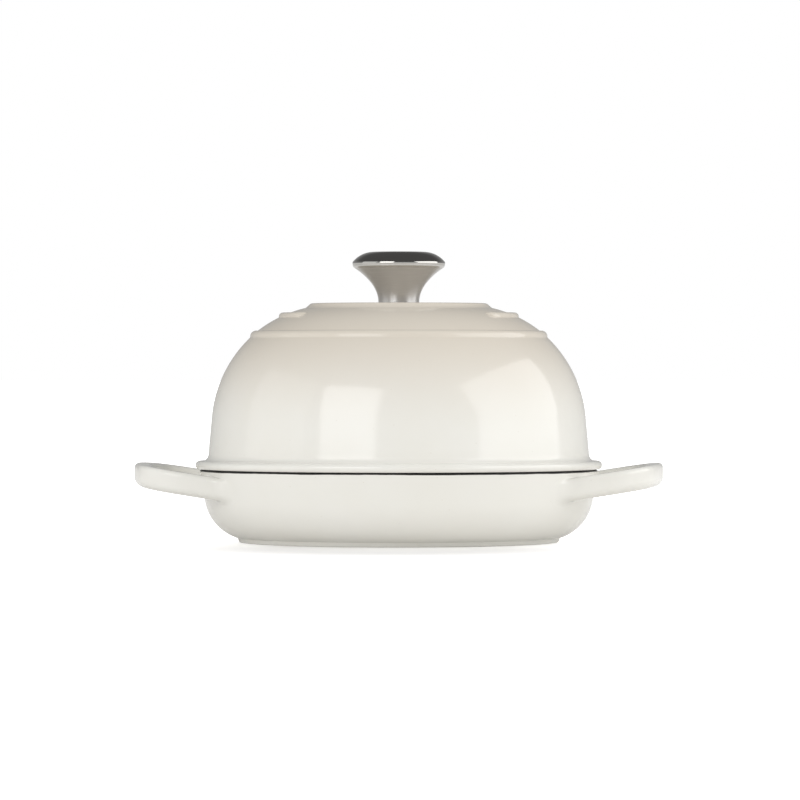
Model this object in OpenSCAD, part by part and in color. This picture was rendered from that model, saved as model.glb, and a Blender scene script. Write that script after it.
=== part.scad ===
// Bread cloche: a shallow round pan with two loop handles, and a tall domed lid with a metal knob.
// Both halves are enamelled iron castings. Millimetres, +Z up, +X along the handles.
// The origin is the centre of the foot, on the surface that the pan stands on.

/* [Pan] */
// Outer diameter of the pan at its rim
rim_d = 244.6; // [236:0.2:248]
// Height of the rim above the surface it stands on
rim_z = 44.4; // [40:0.1:50]
// Outward lean of the wall above the round corner, in degrees
wall_lean = 9.5; // [6:0.5:12]
// Outside radius of the round corner between floor and wall
corner_r = 28.5; // [24:0.5:32]
// Thickness of the pan's wall and floor
pan_wall = 4.3; // [3.6:0.1:5]
// Height of the underside between the foot and the wall
belly_z = 1.5; // [1:0.1:2.4]
// Outer diameter of the foot
foot_d = 197.2; // [180:0.2:200]
// Width of the foot's bearing ring
foot_w = 6.5; // [4:0.5:12]
// Depth of the recess inside the foot
foot_recess = 1.2; // [0.6:0.1:1.4]
// Number of raised rings on the floor
floor_rings = 6; // [3:1:8]
// Spacing of the raised rings
ring_pitch = 11; // [8:0.5:12]
// Height of a raised ring above the floor
ring_h = 1.1; // [0.6:0.1:1.6]

/* [Handles] */
// Distance between the two handle tips
tip_span = 324.4; // [310:0.2:330]
// Distance between the middles of a handle's two arms
arm_span = 116; // [100:1:124]
// Width of the handle's bar, seen from above
bar_w = 11; // [9:0.5:13]
// Height of the handle's bar, seen from the side
bar_h = 13.8; // [11:0.2:15]
// Radius of the loop's corners, along the middle of the bar
loop_r = 23; // [16:0.5:26]
// How far the handle rises for each millimetre outward
handle_rise = 0.158; // [0.1:0.002:0.2]
// Height of the handle's top where it passes the rim
handle_top = 42.9; // [41:0.1:43.4]
// Edge radius along the top of the bar
top_edge_r = 3; // [2:0.5:4]
// Edge radius along the underside of the bar
low_edge_r = 4.5; // [3:0.5:5]
// Radius of the fillet where an arm runs into the wall
root_r = 12; // [6:1:16]

/* [Lid] */
// Outer diameter of the flange
flange_d = 249.8; // [240:0.2:254]
// Thickness of the flange
flange_t = 5.1; // [4.4:0.1:6]
// Height of the small lugs that hold the flange off the rim
lug_h = 0.5; // [0.3:0.1:0.8]
// Width of a lug along the rim
lug_w = 9; // [6:0.5:12]
// Thickness of the dome
lid_wall = 4; // [3.4:0.1:5]
// Distance of the dome arc's centre from the axis
dome_c = 38.15; // [36:0.05:40]
// Height of the dome arc's centre
dome_z = 70; // [68:0.5:72]
// Radius of the dome arc
dome_r = 77; // [75:0.5:79]
// Inward lean of the straight wall below the dome arc, in degrees
dome_lean = 5.3; // [3:0.1:7]
// Radius of the hollow between wall and flange
fillet_r = 4; // [3:0.5:5]
// Clearance between the locating lip and the pan's wall, at the rim
lip_gap = 1.1; // [0.8:0.1:2]
// Depth of the locating lip below the flange
lip_depth = 3.3; // [2.5:0.1:5]

/* [Lid top] */
// Radius of the bead's section
bead_r = 3.5; // [3:0.1:4]
// Distance of the bead's section from the axis
bead_c = 87.8; // [86:0.1:89]
// Height of the bead's section
bead_z = 126.4; // [126:0.1:127]
// Distance of the band arc's centre from the axis, above the bead
band_c = 40.3; // [39.8:0.1:40.8]
// Height of the band arc's centre
band_cz = 70.5; // [70.2:0.1:70.8]
// Radius of the band arc
band_r = 75.3; // [75:0.1:75.5]
// Radius of the flat top, before its rounded edge
flat_r = 52.9; // [50:0.1:55]
// Height of the flat top
flat_z = 146.7; // [146.2:0.1:147.4]
// Radius of the flat top's rounded edge
flat_edge_r = 3; // [2:0.5:4]
// Height of the two raised bars on the band
bar_z = 141; // [140.5:0.1:141.6]
// Outer radius of the raised bars
bar_out = 73.7; // [72:0.1:75]
// Radial width of the raised bars
bar_in_w = 9.6; // [8:0.1:11]
// Angle that a raised bar covers, between the centres of its round ends
bar_angle = 68; // [40:2:76]

/* [Knob] */
// Diameter of the knob at its widest
knob_d = 56.9; // [50:0.1:60]
// Diameter of the stem's foot
stem_d = 25; // [22:0.5:28]
// Height of the joint between stem and cap
cap_z = 170.4; // [169:0.1:171]
// Height of the top of the knob
knob_z = 178.3; // [177:0.1:179]
// Crown radius of the cap's shoulder
cap_r = 16.4; // [15:0.1:18]
// Thickness of the stem's and cap's metal
knob_wall = 1.5; // [1.2:0.1:2]
// Diameter of the screw's shank
screw_d = 5.9; // [5:0.1:6]
// Diameter of the screw's head
screw_head_d = 16; // [13:0.5:18]

/* [Hidden] */
$fn = 96;
join = 0.2; // how far shapes of one piece reach into each other

enamel = "#E6E1D6";
brushed = "#8F8D89";
polished = "#B9B8B6";
plated = "#A5A29B";

// pan section
rim_r = rim_d / 2;
corner_z = belly_z + corner_r;
wall_foot_z = corner_z - corner_r * sin(wall_lean);
wall_foot_r = rim_r - (rim_z - wall_foot_z) * tan(wall_lean);
corner_c = wall_foot_r - corner_r * cos(wall_lean);
foot_r = foot_d / 2;
foot_join = acos((foot_r - corner_c) / corner_r);
edge = 0.8; // small rounding on the foot and on the rim
rim_in_r = rim_r - pan_wall / cos(wall_lean);
floor_z = corner_z - corner_r + pan_wall;
ring_r = 1.5; // radius of a raised ring's own section

// handle, laid out level and then sheared upward
tip_c = tip_span / 2 - bar_w / 2;
loop_y = arm_span / 2 - loop_r;
loop_c = tip_c - loop_r;
arm_in = sqrt(pow(rim_in_r, 2) - pow(arm_span / 2, 2)); // where the arm's middle meets the cavity
root_body_r = rim_r - 1.5; // the wall's radius at the height of the handle

// lid section
flange_z = rim_z + lug_h;
flange_r = flange_d / 2;
flange_top = flange_z + flange_t;
wall_top_r = dome_c + dome_r * cos(dome_lean);
wall_top_z = dome_z + dome_r * sin(dome_lean);
fillet_z = flange_top + fillet_r;
fillet_c = wall_top_r + (wall_top_z - fillet_z) * tan(dome_lean) + fillet_r;
in_r = dome_r - lid_wall;
in_top_r = dome_c + in_r * cos(dome_lean);
in_top_z = dome_z + in_r * sin(dome_lean);
lip_z = flange_z - lip_depth;
lip_r = rim_in_r - lip_gap;
ceiling_z = dome_z + in_r;
bead_a = acos((bead_c - dome_c) / dome_r);
flat_edge_a = 50; // how far round the flat top's edge turns before it meets the band
band_in_r = flat_r + flat_edge_r * sin(flat_edge_a) + 2;
band_start = acos((band_in_r - band_c) / band_r);
band_end = acos((bead_c - band_c) / band_r);
hole_r = screw_d / 2 + 0.45;

// knob
knob_r = knob_d / 2;
stem_r = stem_d / 2;
stem_top = cap_z - 2.3; // where the flare turns into the rounded lip
lip_turn_r = knob_r - 1.75;
flare_power = 2.15;
cap_c = 15.5; // where the flat middle of the cap ends
cap_arc_z = knob_z - cap_r;
cap_edge_a = acos((knob_r - cap_c) / cap_r);
plug_r = lip_turn_r - knob_wall - 0.5; // the part of the cap that is pressed into the stem
plug_depth = 2;
plate_t = 3; // bottom of the hollow stem
plate_z = flat_z + plate_t;
insert_r = 8;
insert_h = 14;
thread_h = 12; // depth of the insert's blind bore
washer_r = 10;
washer_t = 1.2;
head_t = 3;
head_z = ceiling_z - washer_t - head_t;
slot_w = 1.6;

// points along an arc in the plane of a section, from angle a to angle b
function arc(c, z, r, a, b, n) =
    [for (i = [0:n]) let (t = a + (b - a) * i / n) [c + r * cos(t), z + r * sin(t)]];

// radius of the stem's flare at height z
function flare(z) =
    stem_r + (lip_turn_r - stem_r) * pow((z - flat_z) / (stem_top - flat_z), flare_power);

// outline of the handle's bar, centred on its own middle
function bar_outline() = concat(
    arc(bar_w / 2 - top_edge_r, bar_h / 2 - top_edge_r, top_edge_r, 0, 90, 5),
    arc(-bar_w / 2 + top_edge_r, bar_h / 2 - top_edge_r, top_edge_r, 90, 180, 5),
    arc(-bar_w / 2 + low_edge_r, -bar_h / 2 + low_edge_r, low_edge_r, 180, 270, 5),
    arc(bar_w / 2 - low_edge_r, -bar_h / 2 + low_edge_r, low_edge_r, 270, 360, 5));

// fillet between the pan's wall and an arm's straight side at y; dir is 1 or -1, away from the arm
module root_fillet(y, dir) {
    cy = y + dir * root_r;
    cx = sqrt(pow(root_body_r + root_r, 2) - cy * cy);
    wall_a = atan2(cy, cx);
    in_k = (rim_in_r + 1) / root_body_r;
    start_a = -90 * dir;
    end_a = dir > 0 ? wall_a - 180 : wall_a + 180;
    translate([0, 0, -bar_h / 2 + low_edge_r / 2])
        linear_extrude(bar_h - low_edge_r / 2 - top_edge_r / 2)
            polygon(concat(
                arc(cx, cy, root_r, start_a, end_a, 10),
                [[root_body_r * cos(wall_a) * in_k, root_body_r * sin(wall_a) * in_k],
                 [sqrt(pow(rim_in_r + 1, 2) - pow(y - dir * 2, 2)), y - dir * 2],
                 [cx, y - dir * 2]]));
}

module arm(side) {
    y = side * arm_span / 2;
    translate([loop_c, y, 0]) rotate([90, 0, -90])
        linear_extrude(loop_c - arm_in + bar_w) polygon(bar_outline());
    root_fillet(y + side * bar_w / 2, side);
    root_fillet(y - side * bar_w / 2, -side);
}

// one loop, level, with the bar's middle in the plane z = 0
module level_loop() {
    arm(1);
    arm(-1);
    translate([loop_c, loop_y, 0])
        rotate_extrude(angle = 90) translate([loop_r, 0]) polygon(bar_outline());
    translate([loop_c, -loop_y, 0]) rotate([0, 0, -90])
        rotate_extrude(angle = 90) translate([loop_r, 0]) polygon(bar_outline());
    translate([tip_c, loop_y, 0]) rotate([90, 0, 0])
        linear_extrude(2 * loop_y) polygon(bar_outline());
}

// the loop sheared so that its sides stay upright while it rises outward
module handle() {
    multmatrix([
        [1, 0, 0, 0],
        [0, 1, 0, 0],
        [handle_rise, 0, 1, handle_top - bar_h / 2 - handle_rise * rim_r],
        [0, 0, 0, 1]])
        level_loop();
}

module pan_blank() {
    rotate_extrude() polygon(concat(
        [[0, foot_recess], [foot_r - foot_w - foot_recess, foot_recess], [foot_r - foot_w, 0]],
        arc(foot_r - edge - 0.3, edge, edge, -90, 0, 4),
        [[foot_r, corner_z - corner_r * sin(foot_join)]],
        arc(corner_c, corner_z, corner_r, -foot_join + 1, -wall_lean, 18),
        arc(rim_r - edge, rim_z - edge, edge, 0, 90, 4),
        [[0, rim_z]]));
}

module pan_cavity() {
    rotate_extrude() polygon(concat(
        [[0, floor_z]],
        arc(corner_c, corner_z, corner_r - pan_wall, -90, -wall_lean, 16),
        [[rim_in_r, rim_z], [rim_in_r, rim_z + bar_h], [0, rim_z + bar_h]]));
}

module pan() color(enamel) {
    difference() {
        union() {
            pan_blank();
            handle();
            mirror([1, 0, 0]) handle();
        }
        pan_cavity();
    }
    for (i = [1:floor_rings])
        rotate_extrude() translate([ring_pitch * (i + 1.5), floor_z + ring_h - ring_r]) circle(ring_r);
}

module lid_blank() {
    rotate_extrude() polygon(concat(
        [[0, flat_z]],
        arc(flat_r, flat_z - flat_edge_r, flat_edge_r, 90, 90 - flat_edge_a, 5),
        arc(band_c, band_cz, band_r, band_start, band_end + 1, 10),
        arc(dome_c, dome_z, dome_r, bead_a, dome_lean, 24),
        arc(fillet_c, fillet_z, fillet_r, 180 + dome_lean, 270, 6),
        arc(flange_r - flange_t / 2, flange_z + flange_t / 2, flange_t / 2, 90, -90, 10),
        [[lip_r, flange_z], [lip_r, lip_z + edge], [lip_r - edge, lip_z], [0, lip_z]]));
}

module lid_cavity() {
    rotate_extrude() polygon(concat(
        [[0, lip_z - 1], [in_top_r + (in_top_z - lip_z + 1) * tan(dome_lean), lip_z - 1]],
        arc(dome_c, dome_z, in_r, dome_lean, 90, 22),
        [[0, ceiling_z]]));
}

// half of a raised bar's section, from its middle outward
function bar_half(low, dir) = [
    [0, low], [dir * (bar_in_w / 2 + 1), low], [dir * bar_in_w / 2, bar_z - 1],
    [dir * (bar_in_w / 2 - 1), bar_z], [0, bar_z]];

// a raised bar with a level top and round ends, lying along the band
module raised_bar() {
    mid = bar_out - bar_in_w / 2;
    low = bar_z - lid_wall - 1;
    rotate([0, 0, -bar_angle / 2]) {
        rotate_extrude(angle = bar_angle) translate([mid, 0]) {
            polygon(bar_half(low, 1));
            polygon(bar_half(low, -1));
        }
        for (end = [0, 1]) rotate([0, 0, end * bar_angle]) translate([mid, 0, 0])
            rotate([0, 0, end ? 0 : 180]) rotate_extrude(angle = 180) polygon(bar_half(low, 1));
    }
}

// a small lug under the flange, which rests on the pan's rim
module lug() {
    lug_a = 2 * asin(lug_w / rim_d);
    rotate([0, 0, -lug_a / 2]) rotate_extrude(angle = lug_a)
        translate([rim_in_r + 0.5, rim_z]) square([rim_r - rim_in_r - 0.5, lug_h + join]);
}

module lid() color(enamel) difference() {
    union() {
        lid_blank();
        rotate_extrude() translate([bead_c, bead_z]) circle(bead_r);
        for (a = [0, 180]) rotate([0, 0, a]) raised_bar();
        for (a = [0:90:270]) rotate([0, 0, a]) lug();
    }
    lid_cavity();
    translate([0, 0, ceiling_z - 1]) cylinder(h = flat_z - ceiling_z + 2, r = hole_r);
}

module knob_stem() color(brushed) {
    n = 14;
    out = [for (i = [0:n]) let (z = flat_z + (stem_top - flat_z) * i / n) [flare(z), z]];
    in = [for (i = [n:-1:0]) let (z = plate_z + (cap_z - plate_z) * i / n)
        [flare(min(z, stem_top)) - knob_wall - 0.4 * i / n, z]];
    difference() {
        rotate_extrude() polygon(concat(
            [[0, flat_z]], out,
            arc(knob_r - 2.8, cap_z, 2.4, -55, 0, 5),
            in, [[0, plate_z]]));
        translate([0, 0, flat_z - 1]) cylinder(h = plate_t + 2, r = screw_d / 2 + 0.3);
    }
}

module knob_cap() color(polished) {
    rotate_extrude() polygon(concat(
        [[0, knob_z]],
        arc(cap_c, cap_arc_z, cap_r, 90, cap_edge_a, 10),
        [[knob_r, cap_z + edge / 2], [knob_r - edge / 2, cap_z],
         [plug_r, cap_z], [plug_r, cap_z - plug_depth], [plug_r - knob_wall, cap_z - plug_depth],
         [plug_r - knob_wall, cap_z + 1]],
        arc(cap_c, cap_arc_z, cap_r - knob_wall, cap_edge_a + 12, 90, 6),
        [[0, knob_z - knob_wall]]));
}

module knob_insert() color(plated) difference() {
    translate([0, 0, plate_z]) cylinder(h = insert_h, r = insert_r);
    translate([0, 0, plate_z - 1]) cylinder(h = thread_h + 1, r = screw_d / 2 + 0.05);
}

module knob_screw() color(plated) difference() {
    translate([0, 0, head_z]) {
        cylinder(h = head_t, r = screw_head_d / 2);
        cylinder(h = plate_z + thread_h - 1.5 - head_z, r = screw_d / 2);
    }
    translate([-screw_head_d, -slot_w / 2, head_z - 1])
        cube([2 * screw_head_d, slot_w, 1 + head_t / 2]);
}

module knob_washer() color(plated) difference() {
    translate([0, 0, ceiling_z - washer_t]) cylinder(h = washer_t, r = washer_r);
    translate([0, 0, ceiling_z - washer_t - 1]) cylinder(h = washer_t + 2, r = hole_r);
}

pan();
lid();
knob_stem();
knob_cap();
knob_insert();
knob_screw();
knob_washer();
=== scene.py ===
from math import acos, asin, atan2, cos, degrees, hypot, pi, radians, sin, sqrt, tan

import bmesh
import bpy
from mathutils import Matrix, Vector


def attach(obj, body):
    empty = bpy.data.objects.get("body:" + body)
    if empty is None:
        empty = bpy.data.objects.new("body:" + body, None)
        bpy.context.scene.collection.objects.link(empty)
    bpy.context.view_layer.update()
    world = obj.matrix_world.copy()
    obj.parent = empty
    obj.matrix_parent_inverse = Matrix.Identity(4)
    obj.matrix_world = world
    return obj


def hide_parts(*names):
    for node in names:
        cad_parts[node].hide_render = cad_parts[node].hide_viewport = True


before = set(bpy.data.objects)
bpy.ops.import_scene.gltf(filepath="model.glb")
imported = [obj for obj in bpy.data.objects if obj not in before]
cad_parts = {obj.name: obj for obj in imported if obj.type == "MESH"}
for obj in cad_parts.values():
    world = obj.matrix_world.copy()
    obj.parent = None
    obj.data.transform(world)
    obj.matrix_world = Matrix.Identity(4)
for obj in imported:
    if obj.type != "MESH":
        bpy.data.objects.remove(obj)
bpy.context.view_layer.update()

scene = bpy.context.scene
mm = 0.001
mergeDist = 2e-6    # m, closes poles and seams
sharpAngle = 40     # degrees, flatter edges shade smooth


def linear(hexColor):
    # sRGB hex to the linear values that shaders work in
    parts = [int(hexColor[i:i + 2], 16) / 255 for i in (1, 3, 5)]
    return [p / 12.92 if p <= 0.04045 else ((p + 0.055) / 1.055) ** 2.4 for p in parts] + [1.0]


def addNode(tree, kind, inputs=None, **settings):
    # an input is either a value or the socket of another node
    node = tree.nodes.new(kind)
    for key, value in settings.items():
        setattr(node, key, value)
    for key, value in (inputs or {}).items():
        if isinstance(value, bpy.types.NodeSocket):
            tree.links.new(value, node.inputs[key])
        else:
            node.inputs[key].default_value = value
    return node


def newMaterial(name):
    material = bpy.data.materials.new(name)
    material.use_nodes = True
    material.node_tree.nodes.clear()
    return material, material.node_tree


def perMetre(sizeMm):
    # scale of a pattern whose features are this many mm across
    return 1 / (sizeMm * mm)


def arc(c, z, r, a, b, n):
    # points of an arc in a section, in mm and degrees
    steps = [radians(a + (b - a) * i / n) for i in range(n + 1)]
    return [(c + r * cos(t), z + r * sin(t)) for t in steps]


def coated(points, coat):
    return [(r, z, coat) for r, z in points]


def closeUp(bm):
    bmesh.ops.remove_doubles(bm, verts=bm.verts, dist=mergeDist)
    bmesh.ops.recalc_face_normals(bm, faces=bm.faces)


def turned(outline, steps, closed=False):
    # outline holds (radius, height, coat), and the coat's number becomes the face's material
    bm = bmesh.new()
    coat = bm.verts.layers.int.new("coat")
    verts = []
    for r, z, c in outline:
        v = bm.verts.new((r * mm, 0, z * mm))
        v[coat] = c
        verts.append(v)
    pairs = list(zip(verts, verts[1:])) + ([(verts[-1], verts[0])] if closed else [])
    edges = [bm.edges.new(pair) for pair in pairs]
    bmesh.ops.spin(bm, geom=verts + edges, cent=(0, 0, 0), axis=(0, 0, 1), angle=2 * pi,
                   steps=steps, use_merge=True, use_duplicate=False)
    closeUp(bm)
    for face in bm.faces:
        face.material_index = min(v[coat] for v in face.verts)
    return bm


def joinInto(bm, other, coat=0):
    for face in other.faces:
        face.material_index = coat
    mesh = bpy.data.meshes.new("joined")
    other.to_mesh(mesh)
    other.free()
    bm.from_mesh(mesh)
    bpy.data.meshes.remove(mesh)


def finishPiece(bm, name, body, materials, node):
    # the finished piece rides on its body and stands for one CAD node
    mesh = bpy.data.meshes.new(name)
    bm.to_mesh(mesh)
    bm.free()
    for material in materials:
        mesh.materials.append(material)
    mesh.shade_smooth()
    mesh.set_sharp_from_angle(angle=radians(sharpAngle))
    piece = bpy.data.objects.new(name, mesh)
    scene.collection.objects.link(piece)
    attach(piece, body)
    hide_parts(node)


enamelLook = {
    "cream": "#EEEDE8",
    "creamShade": "#E9E7DF",    # where the coat lies a little thinner
    "cloudMm": 45.5,            # size of those areas
    "shoulder": "#D9D0C2",      # warmer tone round the top of the lid
    "shoulderShare": 0.85,
    "edge": "#BFB19B",          # iron shows through the thin coat on sharp edges
    "edgeShare": 0.3,
    "edgeFrom": (0.53, 0.62),   # pointiness at which it starts and is full
    "speckMm": 7,               # spacing of pin-head specks of scale in the glass
    "speckFrom": (0.03, 0.05),  # their size, as a share of the spacing
    "speckShare": 0.28,
    "roughness": 0.13,
    "rippleMm": 9,              # slow waves of the fired coat
    "peelMm": 1.8,              # orange peel
    "peelShare": 0.16,
    "reliefMm": 0.05,
    "black": "#171614",
    "blackRoughness": 0.42,
    "wipeMm": 22.2,             # waves in the hand-wiped border of the black coat
    "wipeHigh": 0.9,            # mm
    "wipeLine": (0.38, 0.5),    # mm over the lowest point of the border
}


def creamEnamel(name, blackLine=None, shoulderFrom=None):
    # vitreous enamel sprayed and fired on cast iron: deep gloss, soft waves, thin warm edges.
    # Above blackLine (mm) it turns into the black coat of the inside. Between the two heights
    # of shoulderFrom (mm) it turns warmer.
    look = enamelLook
    material, tree = newMaterial(name)
    place = addNode(tree, "ShaderNodeTexCoord").outputs["Object"]
    ripple = addNode(tree, "ShaderNodeTexNoise",
                     {"Vector": place, "Scale": perMetre(look["rippleMm"]), "Detail": 2.0})
    peel = addNode(tree, "ShaderNodeTexNoise",
                   {"Vector": place, "Scale": perMetre(look["peelMm"]), "Detail": 1.0})
    relief = addNode(tree, "ShaderNodeMath",
                     {0: peel.outputs["Fac"], 1: look["peelShare"], 2: ripple.outputs["Fac"]},
                     operation="MULTIPLY_ADD")
    cloud = addNode(tree, "ShaderNodeTexNoise",
                    {"Vector": place, "Scale": perMetre(look["cloudMm"]), "Detail": 3.0})
    color = addNode(tree, "ShaderNodeMix",
                    {"Factor": cloud.outputs["Fac"], 6: linear(look["cream"]),
                     7: linear(look["creamShade"])}, data_type="RGBA").outputs[2]
    height = addNode(tree, "ShaderNodeSeparateXYZ", {0: place}).outputs["Z"]
    if shoulderFrom:
        warm = addNode(tree, "ShaderNodeMapRange",
                       {"Value": height, "From Min": shoulderFrom[0] * mm, "From Max": shoulderFrom[1] * mm,
                        "To Max": look["shoulderShare"]}, interpolation_type="SMOOTHSTEP")
        color = addNode(tree, "ShaderNodeMix",
                        {"Factor": warm.outputs[0], 6: color, 7: linear(look["shoulder"])},
                        data_type="RGBA").outputs[2]
    point = addNode(tree, "ShaderNodeNewGeometry").outputs["Pointiness"]
    thin = addNode(tree, "ShaderNodeMapRange",
                   {"Value": point, "From Min": look["edgeFrom"][0], "From Max": look["edgeFrom"][1],
                    "To Max": look["edgeShare"]})
    specks = addNode(tree, "ShaderNodeTexVoronoi", {"Vector": place, "Scale": perMetre(look["speckMm"])})
    dot = addNode(tree, "ShaderNodeMapRange",
                  {"Value": specks.outputs["Distance"], "From Min": look["speckFrom"][0],
                   "From Max": look["speckFrom"][1], "To Min": look["speckShare"], "To Max": 0.0})
    for share in (thin, dot):
        color = addNode(tree, "ShaderNodeMix",
                        {"Factor": share.outputs[0], 6: color, 7: linear(look["edge"])},
                        data_type="RGBA").outputs[2]
    rough = look["roughness"]
    if blackLine:
        wipe = addNode(tree, "ShaderNodeTexNoise",
                       {"Vector": place, "Scale": perMetre(look["wipeMm"]), "Detail": 3.0})
        shifted = addNode(tree, "ShaderNodeMath",
                          {0: wipe.outputs["Fac"], 1: look["wipeHigh"] * mm, 2: height},
                          operation="MULTIPLY_ADD")
        line = addNode(tree, "ShaderNodeMapRange",
                       {"Value": shifted.outputs[0], "From Min": (blackLine + look["wipeLine"][0]) * mm,
                        "From Max": (blackLine + look["wipeLine"][1]) * mm})
        color = addNode(tree, "ShaderNodeMix",
                        {"Factor": line.outputs[0], 6: color, 7: linear(look["black"])},
                        data_type="RGBA").outputs[2]
        rough = addNode(tree, "ShaderNodeMapRange",
                        {"Value": line.outputs[0], "To Min": look["roughness"],
                         "To Max": look["blackRoughness"]}).outputs[0]
    bump = addNode(tree, "ShaderNodeBump",
                   {"Height": relief.outputs[0], "Strength": 0.5, "Distance": look["reliefMm"] * mm})
    shader = addNode(tree, "ShaderNodeBsdfPrincipled",
                     {"Base Color": color, "Roughness": rough, "IOR": 1.52, "Normal": bump.outputs[0]})
    addNode(tree, "ShaderNodeOutputMaterial", {"Surface": shader.outputs[0]})
    return material


insideLook = {
    "dark": "#121110", "light": "#211F1D",
    "roughness": (0.34, 0.52),
    "patchMm": 33.3,            # size of the duller and glossier areas
    "grainMm": 0.7,             # sand grain of the casting under the coat
    "reliefMm": 0.06,
}


def satinBlackEnamel(name):
    # black ground enamel on sand-cast iron: fine grain and a soft sheen
    look = insideLook
    material, tree = newMaterial(name)
    place = addNode(tree, "ShaderNodeTexCoord").outputs["Object"]
    grain = addNode(tree, "ShaderNodeTexNoise",
                    {"Vector": place, "Scale": perMetre(look["grainMm"]), "Detail": 3.0})
    patch = addNode(tree, "ShaderNodeTexNoise",
                    {"Vector": place, "Scale": perMetre(look["patchMm"]), "Detail": 2.0})
    rough = addNode(tree, "ShaderNodeMapRange",
                    {"Value": patch.outputs["Fac"], "To Min": look["roughness"][0],
                     "To Max": look["roughness"][1]})
    color = addNode(tree, "ShaderNodeMix",
                    {"Factor": grain.outputs["Fac"], 6: linear(look["dark"]), 7: linear(look["light"])},
                    data_type="RGBA")
    bump = addNode(tree, "ShaderNodeBump",
                   {"Height": grain.outputs["Fac"], "Strength": 0.6, "Distance": look["reliefMm"] * mm})
    shader = addNode(tree, "ShaderNodeBsdfPrincipled",
                     {"Base Color": color.outputs[2], "Roughness": rough.outputs[0], "IOR": 1.5,
                      "Normal": bump.outputs[0]})
    addNode(tree, "ShaderNodeOutputMaterial", {"Surface": shader.outputs[0]})
    return material


brushedLook = {"light": "#D9D8D7", "dark": "#BEBDBC", "roughness": 0.3, "lineMm": 0.22, "reliefMm": 0.004}
polishedLook = {"light": "#C9C7C3", "dark": "#BBB9B5", "roughness": 0.06, "lineMm": 0.4, "reliefMm": 0.0004}


def turnedSteel(name, look):
    # stainless steel finished on a lathe: hair lines run round the axis, so they change with height.
    # Real ones are finer than 0.1 mm, and these are coarser so that the render shows them.
    lineStretch, smudgeMm = 0.02, 11.1
    material, tree = newMaterial(name)
    place = addNode(tree, "ShaderNodeTexCoord").outputs["Object"]
    across = perMetre(look["lineMm"])
    lay = addNode(tree, "ShaderNodeMapping",
                  {"Vector": place, "Scale": (across * lineStretch, across * lineStretch, across)})
    hair = addNode(tree, "ShaderNodeTexNoise",
                   {"Vector": lay.outputs[0], "Scale": 1.0, "Detail": 4.0, "Roughness": 0.65})
    smudge = addNode(tree, "ShaderNodeTexNoise",
                     {"Vector": place, "Scale": perMetre(smudgeMm), "Detail": 3.0})
    color = addNode(tree, "ShaderNodeMix",
                    {"Factor": hair.outputs["Fac"], 6: linear(look["dark"]), 7: linear(look["light"])},
                    data_type="RGBA")
    rough = addNode(tree, "ShaderNodeMapRange",
                    {"Value": smudge.outputs["Fac"], "To Min": look["roughness"] * 0.8,
                     "To Max": look["roughness"] * 1.3})
    bump = addNode(tree, "ShaderNodeBump",
                   {"Height": hair.outputs["Fac"], "Strength": 0.7, "Distance": look["reliefMm"] * mm})
    shader = addNode(tree, "ShaderNodeBsdfPrincipled",
                     {"Base Color": color.outputs[2], "Roughness": rough.outputs[0], "Metallic": 1.0,
                      "Normal": bump.outputs[0]})
    addNode(tree, "ShaderNodeOutputMaterial", {"Surface": shader.outputs[0]})
    return material


platedLook = {"dark": "#A09D94", "light": "#BDBAB0", "roughness": (0.24, 0.44), "cloudMm": 4.17,
              "flakeMm": 0.8, "reliefMm": 0.01}


def zincPlatedSteel(name):
    # bright zinc on turned steel: pale, slightly cloudy, with fine crystals
    look = platedLook
    material, tree = newMaterial(name)
    place = addNode(tree, "ShaderNodeTexCoord").outputs["Object"]
    flake = addNode(tree, "ShaderNodeTexVoronoi", {"Vector": place, "Scale": perMetre(look["flakeMm"])})
    cloud = addNode(tree, "ShaderNodeTexNoise",
                    {"Vector": place, "Scale": perMetre(look["cloudMm"]), "Detail": 3.0})
    color = addNode(tree, "ShaderNodeMix",
                    {"Factor": cloud.outputs["Fac"], 6: linear(look["dark"]), 7: linear(look["light"])},
                    data_type="RGBA")
    rough = addNode(tree, "ShaderNodeMapRange",
                    {"Value": cloud.outputs["Fac"], "To Min": look["roughness"][0],
                     "To Max": look["roughness"][1]})
    bump = addNode(tree, "ShaderNodeBump",
                   {"Height": flake.outputs["Distance"], "Strength": 0.3,
                    "Distance": look["reliefMm"] * mm})
    shader = addNode(tree, "ShaderNodeBsdfPrincipled",
                     {"Base Color": color.outputs[2], "Roughness": rough.outputs[0], "Metallic": 1.0,
                      "Normal": bump.outputs[0]})
    addNode(tree, "ShaderNodeOutputMaterial", {"Surface": shader.outputs[0]})
    return material


creamOnPan = creamEnamel("cream_enamel_pan", blackLine=43.55)
creamOnHandles = creamEnamel("cream_enamel_handles")
creamOnLid = creamEnamel("cream_enamel_lid", shoulderFrom=(66, 132))
blackInside = satinBlackEnamel("satin_black_enamel")
brushedSteel = turnedSteel("brushed_stainless_steel", brushedLook)
polishedSteel = turnedSteel("polished_stainless_steel", polishedLook)
platedSteel = zincPlatedSteel("zinc_plated_steel")
print("materials made")


# all sizes from here on are in mm and degrees, as read from the axis out and from the table up
pan = {
    "rimR": 122.3, "rimZ": 44.4, "wallLean": 9.5, "wall": 4.3,
    "cornerR": 28.5, "bellyZ": 1.5,
    "footR": 98.6, "footW": 6.5, "footRecess": 1.2, "footSlope": 2.5, "footInEdge": 0.6,
    "floorZ": 5.8, "rings": 6, "ringPitch": 11, "ringH": 1.1, "floorFlatR": 8,
    "edge": 0.8, "turns": 256,
}
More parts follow.
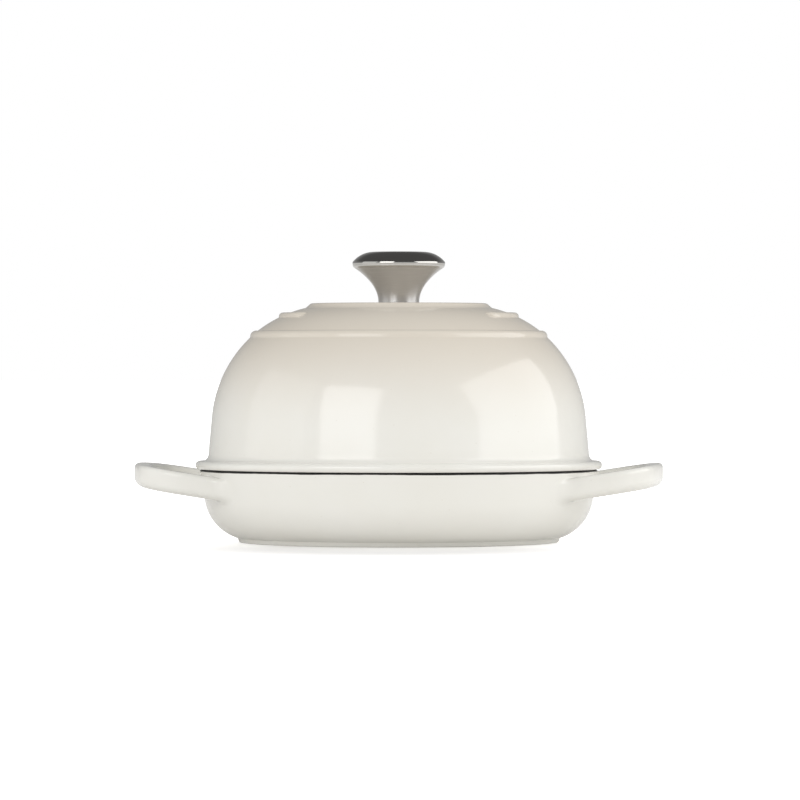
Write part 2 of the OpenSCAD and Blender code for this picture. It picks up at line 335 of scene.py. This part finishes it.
# one ring of the floor's pattern, from outside in: way out from its middle, share of its height
ringShape = ((2.2, 0), (1.4, 0.3), (0.7, 0.85), (0, 1), (-0.7, 0.85), (-1.4, 0.3), (-2.2, 0))
leanTan = tan(radians(pan["wallLean"]))
leanCos = cos(radians(pan["wallLean"]))
pan["cornerZ"] = pan["bellyZ"] + pan["cornerR"]
tangentZ = pan["cornerZ"] - pan["cornerR"] * sin(radians(pan["wallLean"]))
pan["cornerC"] = pan["rimR"] - (pan["rimZ"] - tangentZ) * leanTan - pan["cornerR"] * leanCos
pan["rimInR"] = pan["rimR"] - pan["wall"] / leanCos


def panWallR(z):
    # radius of the pan's outer wall at height z
    if z < tangentZ:
        return pan["cornerC"] + sqrt(max(0, pan["cornerR"] ** 2 - (z - pan["cornerZ"]) ** 2))
    return pan["rimR"] - (pan["rimZ"] - z) * leanTan


def panBody():
    p = pan
    e = p["edge"]
    footIn = p["footR"] - p["footW"]
    footJoin = degrees(acos((p["footR"] - p["cornerC"]) / p["cornerR"]))
    outside = [(0, p["footRecess"]), (footIn - p["footSlope"], p["footRecess"])]
    outside += arc(footIn, p["footInEdge"], p["footInEdge"], 180, 270, 4)
    outside += arc(p["footR"] - e - 0.3, e, e, -90, -10, 4)
    outside += arc(p["cornerC"], p["cornerZ"], p["cornerR"], -footJoin + 1, -p["wallLean"], 40)
    outside += [(panWallR(z), z) for z in (28, 32, 36, 40, 42)]
    outside += arc(p["rimR"] - e - 0.1, p["rimZ"] - e, e, -p["wallLean"], 90, 8)
    inside = arc(p["rimInR"] + e, p["rimZ"] - e, e, 90, 180 - p["wallLean"], 6)
    inside += arc(p["cornerC"], p["cornerZ"], p["cornerR"] - p["wall"], -p["wallLean"], -90, 30)
    for i in range(p["rings"], 0, -1):
        mid = p["ringPitch"] * (i + 1.5)
        inside += [(mid + out, p["floorZ"] + p["ringH"] * up) for out, up in ringShape]
    inside += [(p["floorFlatR"], p["floorZ"]), (0, p["floorZ"])]
    return turned(coated(outside, 0) + coated(inside, 1), p["turns"])


handle = {
    "tipX": 162.2, "armY": 58, "barW": 11, "barH": 13.8, "cornerR": 23,
    "rise": 0.158, "topAtRim": 42.9, "topEdge": 3.0, "lowEdge": 4.5, "edgeSteps": 6,
    "turnSteps": 28, "bowSteps": 16,
    # fillet into the wall: how far it spreads sideways, below and above the bar
    "rootPlan": 8, "rootUnder": 3, "rootOver": 1.2, "rootSteps": 14, "rootProud": 0.05,
    # rings past the fillet as (way on, height over the wall), which run it out under the wall's skin
    "rootFade": ((0.6, 0.03), (1.5, 0), (2.8, -0.15)), "fadeOver": 0.4,
    "wallNear": 110,            # first guess for where the arm meets the wall
}


def only(kind, geom):
    return [g for g in geom if isinstance(g, kind)]


def barSection(bm, x, y):
    # the bar's cut face: a rectangle with rounded corners, standing across the arm
    h = handle
    corners = [bm.verts.new((x, y + a * h["barW"] / 2, b * h["barH"] / 2))
               for a, b in ((1, 1), (-1, 1), (-1, -1), (1, -1))]
    bm.faces.new(corners)
    for pair, edge in ((corners[:2], h["topEdge"]), (corners[2:], h["lowEdge"])):
        bmesh.ops.bevel(bm, geom=pair, offset=edge, affect="VERTICES", segments=h["edgeSteps"],
                        profile=0.5, material=-1)
    bmesh.ops.delete(bm, geom=list(bm.faces), context="FACES_ONLY")
    return list(bm.verts) + list(bm.edges)


def outward(y, z):
    # direction in which the bar's side faces at a point of its section
    h = handle
    edge = h["topEdge"] if z > 0 else h["lowEdge"]
    coreY, coreZ = h["barW"] / 2 - edge, h["barH"] / 2 - edge
    away = Vector((y - max(-coreY, min(coreY, y)), z - max(-coreZ, min(coreZ, z))))
    return away.normalized()


def growRoot(bm, edges, armY, lift):
    # the arm swells into the wall in rings, like the fillet of a casting
    h = handle
    homeY = bm.verts.layers.float["homeY"]
    homeZ = bm.verts.layers.float["homeZ"]
    rings = [(i / h["rootSteps"], 0, h["rootProud"]) for i in range(h["rootSteps"] + 1)]
    rings += [(1, past, over) for past, over in h["rootFade"]]
    for share, past, over in rings:
        edges = only(bmesh.types.BMEdge, bmesh.ops.extrude_edge_only(bm, edges=edges)["geom"])
        edges = [e for e in edges if len(e.link_faces) == 1]
        turn = radians(90 * share)
        for v in {v for e in edges for v in e.verts}:
            y, z = v[homeY], v[homeZ]
            side = outward(y - armY, z)
            sizeZ = h["rootOver"] if side.y > 0 else h["rootUnder"]
            pastZ = past * (h["fadeOver"] if side.y > 0 else 1)
            size = h["rootPlan"] * side.x ** 2 + sizeZ * side.y ** 2
            y += side.x * (h["rootPlan"] * (1 - cos(turn)) + past)
            z += side.y * (sizeZ * (1 - cos(turn)) + pastZ) + lift
            x = h["wallNear"]
            for again in range(6):  # the bar rises with x, so the wall's radius is found in rounds
                wallX = sqrt(panWallR(z + h["rise"] * x) ** 2 - y * y)
                x = wallX + size * (1 - sin(turn)) + over
            v.co = (x, y, z + h["rise"] * x)
    bmesh.ops.holes_fill(bm, edges=edges, sides=0)


def handleLoop(side):
    # the tip bows about the pan's axis, and a smaller arc turns it into each arm
    h = handle
    tipC = h["tipX"] - h["barW"] / 2
    turnY = h["armY"] - h["cornerR"]
    bow = asin(turnY / (tipC - h["cornerR"]))
    turnX = (tipC - h["cornerR"]) * cos(bow)
    bm = bmesh.new()
    homeY = bm.verts.layers.float.new("homeY")
    homeZ = bm.verts.layers.float.new("homeZ")
    start = barSection(bm, turnX, h["armY"])
    for v in only(bmesh.types.BMVert, start):
        v[homeY], v[homeZ] = v.co.y, v.co.z
    startEdges = only(bmesh.types.BMEdge, start)
    run = start
    for cent, angle, steps in (((turnX, turnY, 0), pi / 2 - bow, h["turnSteps"]),
                               ((0, 0, 0), 2 * bow, h["bowSteps"]),
                               ((turnX, -turnY, 0), pi / 2 - bow, h["turnSteps"])):
        run = bmesh.ops.spin(bm, geom=run, cent=cent, axis=(0, 0, 1), angle=-angle, steps=steps,
                             use_duplicate=False)["geom_last"]
    endEdges = only(bmesh.types.BMEdge, run)
    for v in only(bmesh.types.BMVert, run):
        v[homeY] = v.co.y
    # the loop rises outward while its sides stay upright
    lift = h["topAtRim"] - h["barH"] / 2 - h["rise"] * pan["rimR"]
    for v in bm.verts:
        v.co.z += lift + h["rise"] * v.co.x
    growRoot(bm, startEdges, h["armY"], lift)
    growRoot(bm, endEdges, -h["armY"], lift)
    bmesh.ops.scale(bm, vec=(side * mm, mm, mm), verts=bm.verts)
    closeUp(bm)
    return bm


body = panBody()
for side in (1, -1):
    joinInto(body, handleLoop(side), coat=2)
finishPiece(body, "pan_casting", "pan", [creamOnPan, blackInside, creamOnHandles], "pan")
print("pan made")


lid = {
    "flangeR": 124.9, "flangeT": 5.1, "flangeZ": 44.9, "fillet": 4, "wall": 4,
    "domeC": 38.15, "domeZ": 70, "domeR": 77, "lean": 5.3,
    "lipGap": 1.1, "lipDepth": 3.3, "lipEdge": 0.8, "lipInEdge": 0.5,
    "beadC": 87.8, "beadZ": 126.4, "beadR": 3.5,
    "bandC": 40.3, "bandZ": 70.5, "bandR": 75.3,
    "flatR": 52.9, "flatZ": 146.7, "flatEdge": 3, "flatTurn": 50, "flatInR": 20, "holeR": 3.4,
    "barTop": 141, "barOut": 73.7, "barW": 9.6, "barAngle": 68, "barEdge": 2.4, "barSink": 5,
    "lugH": 0.5, "lugW": 9, "lugSink": 0.6, "lugEdge": 0.25,
    "turns": 256,
}


def crossing(c, z, r, farC, farZ, farR):
    # where circle (c, z, r) meets the larger one: its outward direction and the half angle about it
    away = hypot(c - farC, z - farZ)
    half = degrees(acos((farR ** 2 - away ** 2 - r ** 2) / (2 * away * r)))
    return degrees(atan2(z - farZ, c - farC)), half


def lidShell():
    d = lid
    lean = radians(d["lean"])
    wallTopR = d["domeC"] + d["domeR"] * cos(lean)
    wallTopZ = d["domeZ"] + d["domeR"] * sin(lean)
    filletZ = d["flangeZ"] + d["flangeT"] + d["fillet"]
    filletC = wallTopR + (wallTopZ - filletZ) * tan(lean) + d["fillet"]
    out, half = crossing(d["beadC"], d["beadZ"], d["beadR"], d["bandC"], d["bandZ"], d["bandR"])
    beadTop = out + half
    out, half = crossing(d["beadC"], d["beadZ"], d["beadR"], d["domeC"], d["domeZ"], d["domeR"])
    beadLow = out - half
    soften = 7      # degrees cut off each end of the bead's arc, which leaves a soft crease
    bandIn = d["flatR"] + d["flatEdge"] * sin(radians(d["flatTurn"])) + 2
    bandStart = degrees(acos((bandIn - d["bandC"]) / d["bandR"]))
    bandEnd = degrees(acos((d["beadC"] + d["beadR"] * cos(radians(beadTop)) - d["bandC"]) / d["bandR"]))
    domeStart = degrees(asin((d["beadZ"] + d["beadR"] * sin(radians(beadLow)) - d["domeZ"]) / d["domeR"]))
    outside = [(r, d["flatZ"]) for r in (d["holeR"], d["flatR"] - d["flatInR"], d["flatR"] - 2)]
    outside += arc(d["flatR"], d["flatZ"] - d["flatEdge"], d["flatEdge"], 90, 90 - d["flatTurn"], 8)
    outside += arc(d["bandC"], d["bandZ"], d["bandR"], bandStart, bandEnd, 30)
    outside += arc(d["beadC"], d["beadZ"], d["beadR"], beadTop - soften, beadLow + soften, 16)
    outside += arc(d["domeC"], d["domeZ"], d["domeR"], domeStart - 0.3, d["lean"], 60)
    outside += [(wallTopR + (wallTopZ - z) * tan(lean), z) for z in (72, 66, 60, 56)]
    outside += arc(filletC, filletZ, d["fillet"], 180 + d["lean"], 270, 10)
    rimR = d["flangeT"] / 2
    outside += arc(d["flangeR"] - rimR, d["flangeZ"] + rimR, rimR, 90, -90, 16)
    lipR = pan["rimInR"] - d["lipGap"]
    lipZ = d["flangeZ"] - d["lipDepth"]
    inR = d["domeR"] - d["wall"]
    innerR = d["domeC"] + inR * cos(lean)
    innerZ = d["domeZ"] + inR * sin(lean)
    e, i = d["lipEdge"], d["lipInEdge"]
    inside = [(lipR + 0.6, d["flangeZ"]), (lipR + 0.15, d["flangeZ"] - 0.15), (lipR, d["flangeZ"] - 0.6)]
    inside += arc(lipR - e, lipZ + e, e, 0, -90, 5)
    inside += arc(innerR + (innerZ - lipZ) * tan(lean) + i, lipZ + i, i, 270, 185, 4)
    inside += [(innerR + (innerZ - z) * tan(lean), z) for z in (48, 60, 70)]
    inside += arc(d["domeC"], d["domeZ"], inR, d["lean"], 90, 48)
    inside += [(d["flatInR"], d["domeZ"] + inR), (d["holeR"], d["domeZ"] + inR)]
    return turned(coated(outside, 0) + coated(inside, 1), d["turns"], closed=True)


def raisedBar(side):
    # level bar standing out of the sloping band, with a soft top edge and round ends
    d = lid
    reach, soft, low = d["barW"] / 2, d["barEdge"], d["barTop"] - d["barSink"]
    mid = d["barOut"] - reach
    half = [(0, d["barTop"])] + arc(reach - soft, d["barTop"] - soft, soft, 90, 0, 6)
    half += [(reach, low), (0, low)]
    whole = half + [(-out, z) for out, z in reversed(half[1:-1])] + half[:1]
    turn = radians(d["barAngle"])
    start = -turn / 2 + (pi if side < 0 else 0)
    stop = start + turn
    bm = bmesh.new()
    for points, at, pivot, angle, steps in ((whole, start, 0, turn, 60),
                                            (half, start, mid, -pi, 14), (half, stop, mid, pi, 14)):
        way = Vector((cos(at) * mm, sin(at) * mm, 0))
        verts = [bm.verts.new(way * (mid + out) + Vector((0, 0, z * mm))) for out, z in points]
        edges = [bm.edges.new(pair) for pair in zip(verts, verts[1:])]
        bmesh.ops.spin(bm, geom=verts + edges, cent=way * pivot, axis=(0, 0, 1), angle=angle,
                       steps=steps, use_duplicate=False)
    closeUp(bm)
    return bm


def restLug(turn):
    # small pad under the flange that keeps the lid off the pan's rim
    d = lid
    inR, outR = pan["rimInR"] + 0.5, pan["rimR"] - 1.0
    high = d["lugH"] + d["lugSink"]
    bm = bmesh.new()
    bmesh.ops.create_cube(bm, size=1)
    bmesh.ops.scale(bm, vec=((outR - inR) * mm, d["lugW"] * mm, high * mm), verts=bm.verts)
    bmesh.ops.translate(bm, vec=((outR + inR) / 2 * mm, 0, (d["flangeZ"] - d["lugH"] + high / 2) * mm),
                        verts=bm.verts)
    bmesh.ops.bevel(bm, geom=list(bm.edges), offset=d["lugEdge"] * mm, affect="EDGES", segments=2,
                    profile=0.5, material=-1)
    bmesh.ops.rotate(bm, verts=bm.verts, cent=(0, 0, 0), matrix=Matrix.Rotation(turn, 3, "Z"))
    return bm


shell = lidShell()
for side in (1, -1):
    joinInto(shell, raisedBar(side))
for quarter in range(4):
    joinInto(shell, restLug(quarter * pi / 2), coat=1)
finishPiece(shell, "lid_casting", "lid", [creamOnLid, blackInside], "lid")
print("lid made")


knob = {
    "knobR": 28.45, "stemR": 12.5, "flarePower": 2.15, "capZ": 170.4, "topZ": 178.3, "flatR": 8,
    "wall": 1.5, "plateT": 3, "holeR": 3.25, "lipTurn": 1.75, "lipR": 2.4, "lipH": 2.3,
    "capC": 15.5, "capR": 16.4, "plugDepth": 2, "turns": 192,
}
flareTop = knob["capZ"] - knob["lipH"]


def flareR(z):
    # the stem opens ever faster towards the cap
    k = knob
    share = max(0, min(1, (z - lid["flatZ"]) / (flareTop - lid["flatZ"])))
    return k["stemR"] + (k["knobR"] - k["lipTurn"] - k["stemR"]) * share ** k["flarePower"]


def knobStem():
    # hollow stem with a base plate, brushed, and a polished lip rolled at its mouth
    k = knob
    foot, plate = lid["flatZ"], lid["flatZ"] + k["plateT"]
    rise = [foot + (flareTop - foot) * i / 40 for i in range(1, 41)]
    fall = [plate + (k["capZ"] - plate) * i / 16 for i in range(16, -1, -1)]
    outside = [(k["holeR"], foot), (k["stemR"] - 0.3, foot), (k["stemR"] - 0.05, foot + 0.12)]
    outside += [(flareR(z), z) for z in rise]
    rolled = arc(k["knobR"] - k["lipR"] - 0.15, k["capZ"], k["lipR"], -52, 0, 10)
    inside = [(flareR(z) - k["wall"] - 0.4 * (z - plate) / (k["capZ"] - plate), z) for z in fall]
    inside += [(k["holeR"], plate)]
    return turned(coated(outside, 0) + coated(rolled, 1) + coated(inside, 0), k["turns"], closed=True)


def knobCap():
    # pressed dish, turned in under its edge, with a short plug that sits in the stem's mouth
    k = knob
    arcZ = k["topZ"] - k["capR"]
    edgeTurn = degrees(acos((k["knobR"] - k["capC"]) / k["capR"]))
    plugR = k["knobR"] - k["lipTurn"] - k["wall"] - 0.5
    plugZ = k["capZ"] - k["plugDepth"]
    outline = [(0, k["topZ"]), (k["flatR"], k["topZ"])]
    outline += arc(k["capC"], arcZ, k["capR"], 90, edgeTurn, 30)
    outline += [(k["knobR"] - back, k["capZ"] + up) for back, up in ((0.02, 0.2), (0.14, 0.03), (0.3, 0))]
    outline += [(plugR, k["capZ"]), (plugR, plugZ), (plugR - k["wall"], plugZ)]
    outline += arc(k["capC"], arcZ, k["capR"] - k["wall"], edgeTurn + 14, 90, 12)
    outline += [(0, k["topZ"] - k["wall"])]
    return turned(coated(outline, 0), k["turns"])


finishPiece(knobStem(), "knob_flare", "lid", [brushedSteel, polishedSteel], "knob_stem")
finishPiece(knobCap(), "knob_dish", "lid", [polishedSteel], "knob_cap")
for name in ("knob_insert", "knob_screw", "knob_washer"):
    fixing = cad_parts[name]
    if not fixing.material_slots:
        fixing.data.materials.append(platedSteel)
    for holder in fixing.material_slots:
        holder.material = platedSteel
print("knob made")


studio = {
    "floorSize": 60,                    # m
    "paper": "#F2F1EF",
    # the paper's own glow: low in a spot just in front of the pan, which paints a soft shadow there, and
    # high away from it
    "glow": (0.05, 0.95), "paintedShadowReach": (0.05, 0.23),     # m from the spot's middle
    "paintedShadowShift": (0, 0.14, 0),          # added to a point's place, so the spot lies towards -Y
    "sky": 0.7, "skyTop": 0.5,          # light of the room
    # what gloss and metal see of the floor's glow, the horizon, the walls and the ceiling
    "mirrorFloor": 0.2, "mirrorHorizon": 0.45, "mirrorSide": 0.32, "mirrorTop": 0.1,
    "aim": (0, 0, 0.09),
    # azimuth from the front towards +X, elevation, distance, width, height, radiance
    "lamps": {
        "left_window": (-28, 21, 1.5, 0.92, 0.78, 2.6),
        "left_wall": (-78, 18, 1.6, 1.3, 1.1, 0.55),
        "right_window": (83, 23, 1.5, 1.9, 1.05, 1.8),
    },
}


def paperFloor():
    # plain white paper: it keeps the shadow, and its own glow takes it to white in the camera, save in a
    # painted soft shadow just in front of the pan, where the glow stays low
    bm = bmesh.new()
    bmesh.ops.create_grid(bm, x_segments=1, y_segments=1, size=studio["floorSize"] / 2)
    mesh = bpy.data.meshes.new("studio_floor")
    bm.to_mesh(mesh)
    bm.free()
    material, tree = newMaterial("white_paper")
    rays = addNode(tree, "ShaderNodeLightPath")
    mirrored = addNode(tree, "ShaderNodeMath",
                       {0: rays.outputs["Is Glossy Ray"], 1: rays.outputs["Is Transmission Ray"]},
                       operation="MAXIMUM")
    seen = addNode(tree, "ShaderNodeMath", {0: mirrored.outputs[0], 1: studio["mirrorFloor"],
                                            2: rays.outputs["Is Camera Ray"]}, operation="MULTIPLY_ADD")
    place = addNode(tree, "ShaderNodeTexCoord").outputs["Object"]
    fromPaintedShadow = addNode(tree, "ShaderNodeVectorMath", {0: place, 1: studio["paintedShadowShift"]},
                       operation="ADD").outputs[0]
    away = addNode(tree, "ShaderNodeVectorMath", {0: fromPaintedShadow}, operation="LENGTH").outputs["Value"]
    # painted shadow: the glow is low at the spot in front of the pan and rises to white away from it
    strength = addNode(tree, "ShaderNodeMapRange",
                       {"Value": away, "From Min": studio["paintedShadowReach"][0], "From Max": studio["paintedShadowReach"][1],
                        "To Min": studio["glow"][0], "To Max": studio["glow"][1]},
                       interpolation_type="SMOOTHSTEP")
    glow = addNode(tree, "ShaderNodeMath", {0: seen.outputs[0], 1: strength.outputs[0]},
                   operation="MULTIPLY")
    paper = addNode(tree, "ShaderNodeBsdfDiffuse", {"Color": linear(studio["paper"])})
    light = addNode(tree, "ShaderNodeEmission", {"Strength": glow.outputs[0]})
    both = addNode(tree, "ShaderNodeAddShader", {0: paper.outputs[0], 1: light.outputs[0]})
    addNode(tree, "ShaderNodeOutputMaterial", {"Surface": both.outputs[0]})
    mesh.materials.append(material)
    floor = bpy.data.objects.new("studio_floor", mesh)
    scene.collection.objects.link(floor)


def whiteRoom():
    # the camera sees white, and gloss sees the horizon, darker walls above it and a dark ceiling
    world = bpy.data.worlds.new("white_room")
    world.use_nodes = True
    tree = world.node_tree
    tree.nodes.clear()
    way = addNode(tree, "ShaderNodeTexCoord").outputs["Generated"]
    up = addNode(tree, "ShaderNodeSeparateXYZ", {0: way}).outputs["Z"]
    wall = addNode(tree, "ShaderNodeMapRange",
                   {"Value": up, "From Min": 0.01, "From Max": 0.1,
                    "To Min": studio["mirrorHorizon"], "To Max": studio["mirrorSide"]})
    gloss = addNode(tree, "ShaderNodeMapRange",
                    {"Value": up, "From Min": 0.1, "From Max": 0.6,
                     "To Min": wall.outputs[0], "To Max": studio["mirrorTop"]},
                    interpolation_type="SMOOTHSTEP")
    soft = addNode(tree, "ShaderNodeMapRange",
                   {"Value": up, "From Min": 0.3, "From Max": 1.0,
                    "To Min": studio["sky"], "To Max": studio["skyTop"]})
    rays = addNode(tree, "ShaderNodeLightPath")
    mirrored = addNode(tree, "ShaderNodeMath",
                       {0: rays.outputs["Is Glossy Ray"], 1: rays.outputs["Is Transmission Ray"]},
                       operation="MAXIMUM")
    strength = addNode(tree, "ShaderNodeMix", {0: mirrored.outputs[0], 2: soft.outputs[0],
                                               3: gloss.outputs[0]})
    strength = addNode(tree, "ShaderNodeMix", {0: rays.outputs["Is Camera Ray"],
                                               2: strength.outputs[0], 3: 1.0})
    back = addNode(tree, "ShaderNodeBackground", {"Color": linear("#FFFFFF"),
                                                  "Strength": strength.outputs[0]})
    addNode(tree, "ShaderNodeOutputWorld", {"Surface": back.outputs[0]})
    scene.world = world


def placeLamp(name, azimuth, elevation, distance, width, height, radiance):
    lamp = bpy.data.lights.new(name, "AREA")
    lamp.shape = "RECTANGLE"
    lamp.size, lamp.size_y = width, height
    lamp.energy = radiance * pi * width * height
    holder = bpy.data.objects.new(name, lamp)
    scene.collection.objects.link(holder)
    a, e = radians(azimuth), radians(elevation)
    way = Vector((sin(a) * cos(e), -cos(a) * cos(e), sin(e)))
    holder.location = Vector(studio["aim"]) + way * distance
    holder.rotation_euler = way.to_track_quat("Z", "Y").to_euler()


# the photograph's view: distance and height in m, angles in degrees, the rest in its pixels
view = {"distance": 3.38, "azimuth": 2.5, "height": 0.110, "pitch": 0.385,
        "focalPixels": 5500, "photoWidth": 800, "axisPixel": 398.8}


def placeCamera():
    v = view
    camera = bpy.data.cameras.new("camera")
    camera.sensor_width = 36
    camera.lens = v["focalPixels"] / v["photoWidth"] * camera.sensor_width
    camera.clip_end = 200
    camera.shift_x = (v["photoWidth"] / 2 - v["axisPixel"]) / v["photoWidth"]
    holder = bpy.data.objects.new("camera", camera)
    scene.collection.objects.link(holder)
    a = radians(v["azimuth"])
    holder.location = (v["distance"] * sin(a), -v["distance"] * cos(a), v["height"])
    holder.rotation_euler = (radians(90 - v["pitch"]), 0, a)
    scene.camera = holder


paperFloor()
whiteRoom()
for name, settings in studio["lamps"].items():
    placeLamp(name, *settings)
placeCamera()
scene.view_settings.view_transform = "Standard"
print("studio set")
